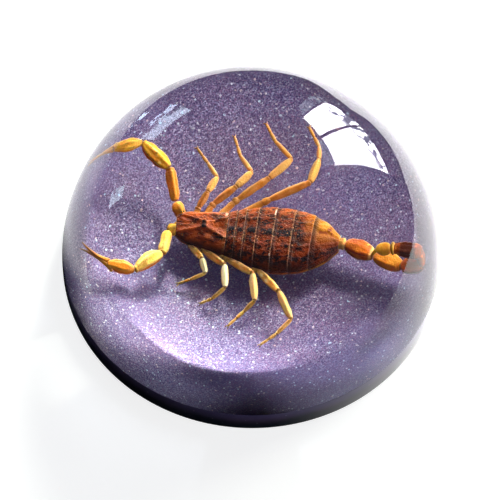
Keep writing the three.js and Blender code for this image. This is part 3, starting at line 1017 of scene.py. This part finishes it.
# ---- Studio: camera, floor, the lit sheet on it, light boxes and mirrored windows ----

CAMERA_HEIGHT = math.radians(61)
CAMERA_AWAY = 9.5 * DOME_RADIUS * MM
CAMERA_LENS = 129.2
AIM_OFFSET = (-0.4, 1.0)  # how far beside and above the middle of the underside it aims, in millimetres
FLOOR_HALF = 1500
FLOOR_GLOW = 0.82  # how much the floor glows for the camera
ROOM_GLOW = 0.03  # and how much of that glow lights the casting

SHEET_OUTLINE = (
    (-20, -46), (20, -48), (47, -56), (61, -54), (78, -51), (92, -44), (105, -34),
    (112, -17), (109, -6), (99, 4), (95, 16), (93, 30), (92, 52), (69, 63),
    (60, 79), (65, 108), (47, 102), (21, 75), (0, 77), (-27, 73), (-79, 78),
    (-99, 75), (-112, 64), (-113, 49), (-102, 29), (-85, 9), (-65, -7), (-50, -28),
)
DOWN_THE_LIGHT = (-0.64, -0.77, 0.0)  # the way the casting's shadow falls on the sheet
BESIDE_THE_LIGHT = (0.77, -0.64, 0.0)

# Azimuths run in degrees to the right of +Y, seen from above, and elevations up from the floor.
SUNNY, HAZY = (0.95, 1.0, 0.87), (0.8, 0.88, 1.0)
BOX_DISTANCE, PANE_DISTANCE = 1.3, 1.2
LIGHT_BOXES = (
    ("window_box", (48, 66), (10, 22), 39.0, SUNNY),
    ("window_end_box", (34, 48), (8, 20), 12.0, SUNNY),
    ("window_sill_box", (48, 66), (6, 10), 31.0, SUNNY),
    ("window_low_box", (48, 66), (0, 6), 17.0, SUNNY),
    ("window_foot_box", (12, 48), (0, 10), 6.0, HAZY),
    ("upper_box", (14, 29), (23, 37), 92.0, SUNNY),
    ("high_box", (30, 48), (22, 38), 6.7, SUNNY),
    ("right_box", (68, 95), (0, 10), 7.5, HAZY),
    ("side_box", (95, 140), (0, 22), 5.3, HAZY),
    ("far_box", (-35, -12), (0, 22), 8.0, HAZY),
    ("far_high_box", (-35, -12), (22, 36), 2.0, HAZY),
    ("far_low_box", (-60, -35), (0, 10), 17.0, HAZY),
)
WINDOW_LIGHTS = {
    "pane_light": (22.0, (1.0, 1.0, 1.0)),
    "sky_light": (2.2, (0.62, 0.78, 0.95)),
    "far_sky_light": (5.6, (0.66, 0.83, 0.98)),
}
WINDOW_PANES = (
    ("pane_upper", ((22.4, -3.9), (34.2, -4.7), (33.8, 27.9), (22.0, 21.9)), "pane_light"),
    ("pane_lower", ((35.2, -4.2), (55.3, -1.1), (52.8, 34.2), (35.6, 28.4)), "pane_light"),
    ("pane_edge", ((17.8, -8.4), (21.4, -5.2), (21.2, 20.6), (17.3, 13.0)), "sky_light"),
    ("pane_side", ((36.5, 28.6), (52.0, 34.4), (51.5, 42.0), (35.5, 32.5)), "sky_light"),
    ("far_pane", ((-41.0, -2.0), (-23.5, -5.0), (-22.5, 11.5), (-41.0, 12.5)), "far_sky_light"),
    ("far_pane_edge", ((-35.0, -17.0), (-26.5, -18.5), (-26.5, -14.5), (-35.0, -13.5)), "far_sky_light"),
    ("side_pane", ((-70.0, 0.5), (-63.0, 0.5), (-62.3, 9.7), (-68.2, 9.9)), "far_sky_light"),
)


def make_light_table():
    """A pale floor that glows a little, as on a light table, with a faint tooth."""
    material, tree, shader = new_material("light_table")
    tooth = times(tree, noise(tree, None, 900.0, 4.0), 0.06)
    worn = blended(tree, tooth, (1.0, 1.0, 1.0), (0.9, 0.9, 0.92))
    to_camera = add_node(tree, "ShaderNodeLightPath").outputs["Is Camera Ray"]
    seen = calculate(tree, "MULTIPLY_ADD", to_camera, FLOOR_GLOW - ROOM_GLOW, ROOM_GLOW)
    fill(
        tree, shader,
        {
            "Emission Color": worn,
            "Emission Strength": seen,
            "Base Color": blended(tree, 0.6, worn, (0, 0, 0)),
            "Roughness": 0.9,
        },
    )
    return material


def make_bright_sheet():
    """The lit sheet that the rim mirrors: brightest on the right, faint at the left, dark in the shadow."""
    material, tree, glow = new_glow("bright_sheet")
    place = place_on_piece(tree)
    across, forward = part_of(tree, place, "X"), part_of(tree, place, "Y")
    faint = between(tree, across, -115 * MM, -55 * MM)
    bright = calculate(tree, "MULTIPLY_ADD", between(tree, across, -30 * MM, 45 * MM), 1.7, 1.3)
    beside = of_vectors(tree, "DOT_PRODUCT", {0: place, 1: BESIDE_THE_LIGHT}, "Value")
    down_light = of_vectors(tree, "DOT_PRODUCT", {0: place, 1: DOWN_THE_LIGHT}, "Value")
    clear_of_shadow = between(tree, calculate(tree, "ABSOLUTE", beside), 27 * MM, 41 * MM)
    before_shadow = between(tree, down_light, 12 * MM, 0.0)
    lit = calculate(tree, "MAXIMUM", clear_of_shadow, before_shadow)
    at_right = times(tree, between(tree, across, 25 * MM, 60 * MM), between(tree, forward, -75 * MM, 10 * MM))
    in_middle = between(tree, forward, -52 * MM, 4 * MM)
    in_front = calculate(tree, "MAXIMUM", in_middle, times(tree, at_right, 0.8))
    fill(tree, glow, {"Color": (1, 1, 1), "Strength": times(tree, faint, bright, in_front, lit)})
    return material


def make_pane_light(name, strength, colour):
    """A bright window pane with a few dark leaves across it."""
    material, tree, glow = new_glow(name)
    place = place_on_piece(tree)
    leaves = between(tree, noise(tree, place, 17.0, 4.0), 0.47, 0.51)
    hanging = between(tree, part_of(tree, place, "Z"), 0.17, 0.04)
    shaded = over(tree, colour, (0.05, 0.055, 0.07), leaves, hanging)
    fill(tree, glow, {"Color": shaded, "Strength": strength})
    return material


def place_camera():
    toward_camera = Vector((0, -math.cos(CAMERA_HEIGHT), math.sin(CAMERA_HEIGHT)))
    upward = Vector((0, math.sin(CAMERA_HEIGHT), math.cos(CAMERA_HEIGHT)))
    aim = Vector((AIM_OFFSET[0] * MM, 0, 0)) + upward * AIM_OFFSET[1] * MM
    data = bpy.data.cameras.new("camera")
    data.lens = CAMERA_LENS
    data.clip_start, data.clip_end = 0.01, 20
    camera = bpy.data.objects.new("camera", data)
    camera.location = aim + toward_camera * CAMERA_AWAY
    camera.rotation_euler = (-toward_camera).to_track_quat("-Z", "Y").to_euler()
    bpy.context.scene.collection.objects.link(camera)
    bpy.context.scene.camera = camera


def level_polygon(name, corners, height, material):
    """A level sheet with the given corners, in millimetres."""
    points = [(x * MM, y * MM, height * MM) for x, y in corners]
    made = new_piece(name, points, [range(len(corners))], material)
    return made


def mirrored_only(piece):
    """Seen only where the resin mirrors it."""
    piece.visible_camera = piece.visible_diffuse = piece.visible_shadow = piece.visible_transmission = False


def towards(azimuth, elevation, distance):
    """A place at a distance in metres."""
    a, e = math.radians(azimuth), math.radians(elevation)
    return Vector((math.sin(a) * math.cos(e), math.cos(a) * math.cos(e), math.sin(e))) * distance


def curved_pane(name, corners, material, distance, steps=6):
    """A pane between four (azimuth, elevation) corners, bent round the casting."""
    points, faces = [], []
    for row in range(steps + 1):
        for column in range(steps + 1):
            up, across = row / steps, column / steps
            low = [a + (b - a) * across for a, b in zip(corners[0], corners[1])]
            high = [a + (b - a) * across for a, b in zip(corners[3], corners[2])]
            azimuth, elevation = (a + (b - a) * up for a, b in zip(low, high))
            points.append(towards(azimuth, elevation, distance))
    for row in range(steps):
        for column in range(steps):
            corner = row * (steps + 1) + column
            faces.append((corner, corner + 1, corner + steps + 2, corner + steps + 1))
    pane = new_piece(name, points, faces, material)
    return pane


def light_box(name, azimuths, elevations, strength, colour):
    """A lit panel, seen by nothing but the light that falls on the casting, straight or bent by the resin."""
    material, tree, glow = new_glow(name)
    fill(tree, glow, {"Color": colour, "Strength": strength})
    (left, right), (low, high) = azimuths, elevations
    corners = ((left, low), (right, low), (right, high), (left, high))
    box = curved_pane(name, corners, material, BOX_DISTANCE)
    box.visible_camera = box.visible_glossy = box.visible_shadow = False


def set_world():
    """Pale behind the casting, a dim room where the resin mirrors it, nearly dark for the light on it."""
    world = bpy.data.worlds.new("room")
    world.use_nodes = True
    tree = world.node_tree
    path = add_node(tree, "ShaderNodeLightPath").outputs
    scattered = calculate(tree, "ADD", path["Diffuse Depth"], path["Glossy Depth"], clamp=True)
    behind = blended(tree, scattered, (1.0, 1.0, 1.0), (0.02, 0.022, 0.03))
    seen = blended(tree, path["Is Glossy Ray"], behind, (0.06, 0.065, 0.08))
    fill(tree, tree.nodes["Background"], {"Color": seen, "Strength": 1.0})
    bpy.context.scene.world = world


def build_studio():
    place_camera()
    half = FLOOR_HALF
    corners = ((-half, -half), (half, -half), (half, half), (-half, half))
    floor = level_polygon("floor", corners, 0.0, make_light_table())
    floor.visible_glossy = floor.visible_transmission = False
    mirrored_only(level_polygon("bright_sheet", SHEET_OUTLINE, 0.02, make_bright_sheet()))
    for box in LIGHT_BOXES:
        light_box(*box)
    lights = {name: make_pane_light(name, *light) for name, light in WINDOW_LIGHTS.items()}
    for name, corners, light in WINDOW_PANES:
        mirrored_only(curved_pane(name, corners, lights[light], PANE_DISTANCE))
    set_world()
    scene = bpy.context.scene
    scene.view_settings.view_transform = "Standard"
    scene.cycles.caustics_refractive = True
    scene.cycles.caustics_reflective = False
    scene.cycles.blur_glossy = 0.0
    scene.cycles.sample_clamp_indirect = 0.0


# ---- The casting put together ----

build_studio()

flakes = make_glitter_flakes()
mottle = make_shell_mottle()
shell_materials = [make_shell(name, mottle) for name in SHELLS]

dome = make_dome(make_clear_resin())
glitter = make_glitter_layer(make_glitter_inside(flakes), make_glitter_foot(flakes))
scorpion = make_scorpion([*shell_materials, make_eye_bead()])

for piece, nodes, finish in (
    (dome, ("clear_bed", "clear_dome"), "clear_resin"),
    (glitter, ("glitter_base",), "purple_glitter_resin"),
    (scorpion, ("scorpion",), "dried_shell"),
):
    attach(piece, "root")
    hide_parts(*nodes)
